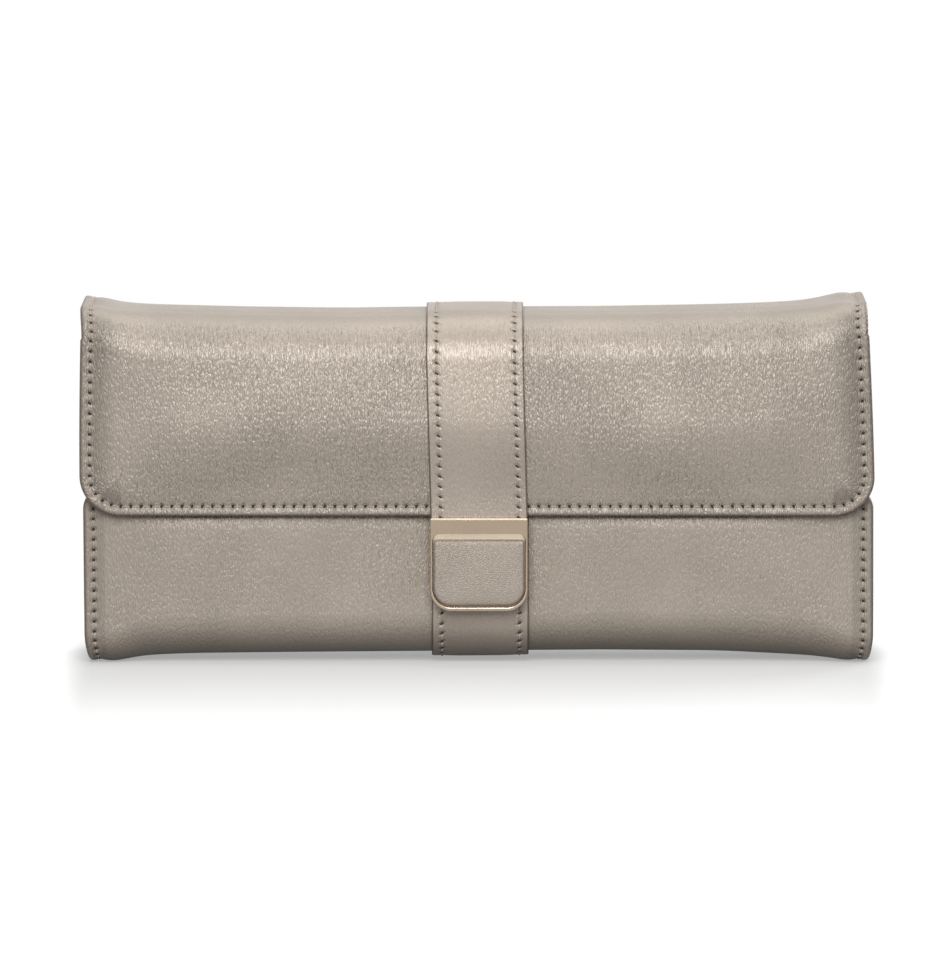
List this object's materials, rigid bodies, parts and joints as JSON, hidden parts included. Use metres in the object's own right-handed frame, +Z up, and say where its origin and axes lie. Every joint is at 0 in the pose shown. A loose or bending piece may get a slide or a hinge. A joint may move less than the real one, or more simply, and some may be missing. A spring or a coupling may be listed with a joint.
{
  "type": "jewelry roll",
  "caption": "Padded leather roll for jewelry that stands on its edge, with a full-width flap, a strap with a framed clasp, a ring bar, necklace tabs and zip pockets inside.",
  "frame": {"origin": "on the surface that the roll stands on, under the middle of its box", "axes": "+X along the roll to the right seen from the front, +Y from the front to the back, +Z up"},
  "size_m": [0.235, 0.0512, 0.1066],
  "materials": {
    "pewter_leather": "pebbled metallic pewter leather, satin",
    "strap_leather": "pebbled metallic pewter leather with painted edges",
    "inlay_leather": "pebbled metallic pewter leather",
    "suede": "warm grey faux suede",
    "board": "raw fibre board",
    "padding": "foam",
    "pale_gold": "polished pale gold plate",
    "magnet_steel": "brushed",
    "zip_tape": "woven tape",
    "bar_core": "plain"
  },
  "bodies": {
    "back": {"cover_back": "pewter_leather", "lining_back": "suede", "board_back": "board", "strap_back": "strap_leather", "necklace_stud_1": "pale_gold", "necklace_stud_2": "pale_gold", "necklace_stud_3": "pale_gold", "necklace_stud_4": "pale_gold", "back_pocket_face": "pewter_leather", "back_zip_tape": "zip_tape", "back_zip_chain": "pale_gold"},
    "top": {"cover_top": "pewter_leather", "lining_top": "suede", "padding_top": "padding", "strap_top": "strap_leather"},
    "flap": {"cover_flap": "pewter_leather", "lining_flap": "suede", "board_flap": "board", "strap_flap": "strap_leather", "clasp_frame": "pale_gold", "clasp_inlay": "inlay_leather", "clasp_backplate": "pale_gold", "clasp_magnet": "magnet_steel"},
    "bottom": {"cover_bottom": "pewter_leather", "lining_bottom": "suede", "padding_bottom": "padding", "strap_bottom": "strap_leather", "ring_bar_hinge_tab": "pewter_leather", "ring_bar_snap_stud": "pale_gold"},
    "front": {"cover_front": "pewter_leather", "lining_front": "suede", "board_front": "board", "strap_front": "strap_leather", "strap_keeper": "magnet_steel", "front_left_pocket_face": "pewter_leather", "front_left_zip_tape": "zip_tape", "front_left_zip_chain": "pale_gold", "front_right_pocket_face": "pewter_leather", "front_right_zip_tape": "zip_tape", "front_right_zip_chain": "pale_gold"},
    "ring_bar": {"ring_bar_core": "bar_core", "ring_bar_sleeve": "suede", "ring_bar_snap_tab": "pewter_leather", "ring_bar_snap_cap": "pale_gold"},
    "necklace_tab_1": {"necklace_tab_1": "pewter_leather", "necklace_cap_1": "pale_gold"},
    "necklace_tab_2": {"necklace_tab_2": "pewter_leather", "necklace_cap_2": "pale_gold"},
    "necklace_tab_3": {"necklace_tab_3": "pewter_leather", "necklace_cap_3": "pale_gold"},
    "necklace_tab_4": {"necklace_tab_4": "pewter_leather", "necklace_cap_4": "pale_gold"},
    "front_left_slider": {"front_left_zip_slider": "pale_gold"},
    "front_left_puller": {"front_left_zip_puller": "pale_gold"},
    "front_right_slider": {"front_right_zip_slider": "pale_gold"},
    "front_right_puller": {"front_right_zip_puller": "pale_gold"},
    "back_slider": {"back_zip_slider": "pale_gold"},
    "back_puller": {"back_zip_puller": "pale_gold"}
  },
  "joints": [
    {"name": "top_back_fold", "type": "hinge", "parent": "back", "child": "top", "pos_m": [0, 0.0218, 0.1034], "axis": [-1, 0, 0], "range_deg": [0, 90]},
    {"name": "top_front_fold", "type": "hinge", "parent": "top", "child": "flap", "pos_m": [0, -0.0206, 0.1034], "axis": [-1, 0, 0], "range_deg": [0, 90]},
    {"name": "bottom_back_fold", "type": "hinge", "parent": "back", "child": "bottom", "pos_m": [0, 0.0218, 0.0032], "axis": [1, 0, 0], "range_deg": [0, 90]},
    {"name": "bottom_front_fold", "type": "hinge", "parent": "bottom", "child": "front", "pos_m": [0, -0.0159, 0.0032], "axis": [1, 0, 0], "range_deg": [0, 90]},
    {"name": "ring_bar_lift", "type": "hinge", "parent": "bottom", "child": "ring_bar", "pos_m": [-0.0945, 0.00295, 0.0195], "axis": [0, -1, 0], "range_deg": [0, 15]},
    {"name": "necklace_tab_1_lift", "type": "hinge", "parent": "back", "child": "necklace_tab_1", "pos_m": [-0.069, 0.0197, 0.0883], "axis": [-1, 0, 0], "range_deg": [0, 90]},
    {"name": "necklace_tab_2_lift", "type": "hinge", "parent": "back", "child": "necklace_tab_2", "pos_m": [-0.023, 0.0197, 0.0883], "axis": [-1, 0, 0], "range_deg": [0, 90]},
    {"name": "necklace_tab_3_lift", "type": "hinge", "parent": "back", "child": "necklace_tab_3", "pos_m": [0.023, 0.0197, 0.0883], "axis": [-1, 0, 0], "range_deg": [0, 90]},
    {"name": "necklace_tab_4_lift", "type": "hinge", "parent": "back", "child": "necklace_tab_4", "pos_m": [0.069, 0.0197, 0.0883], "axis": [-1, 0, 0], "range_deg": [0, 90]},
    {"name": "front_left_zip", "type": "slide", "parent": "front", "child": "front_left_slider", "axis": [1, 0, 0], "range_m": [0, 0.083]},
    {"name": "front_left_puller_swing", "type": "hinge", "parent": "front_left_slider", "child": "front_left_puller", "pos_m": [-0.0975, -0.00635, 0.0408], "axis": [1, 0, 0], "range_deg": [0, 180]},
    {"name": "front_right_zip", "type": "slide", "parent": "front", "child": "front_right_slider", "axis": [1, 0, 0], "range_m": [0, 0.083]},
    {"name": "front_right_puller_swing", "type": "hinge", "parent": "front_right_slider", "child": "front_right_puller", "pos_m": [0.0145, -0.00635, 0.0408], "axis": [1, 0, 0], "range_deg": [0, 180]},
    {"name": "back_zip", "type": "slide", "parent": "back", "child": "back_slider", "axis": [1, 0, 0], "range_m": [0, 0.195]},
    {"name": "back_puller_swing", "type": "hinge", "parent": "back_slider", "child": "back_puller", "pos_m": [-0.0975, 0.01225, 0.0534], "axis": [-1, 0, 0], "range_deg": [0, 180]}
  ],
  "couplings": [
    {"joint": "top_front_fold", "follows": "top_back_fold", "ratio": 1},
    {"joint": "bottom_back_fold", "follows": "top_back_fold", "ratio": 1},
    {"joint": "bottom_front_fold", "follows": "top_back_fold", "ratio": 1}
  ]
}
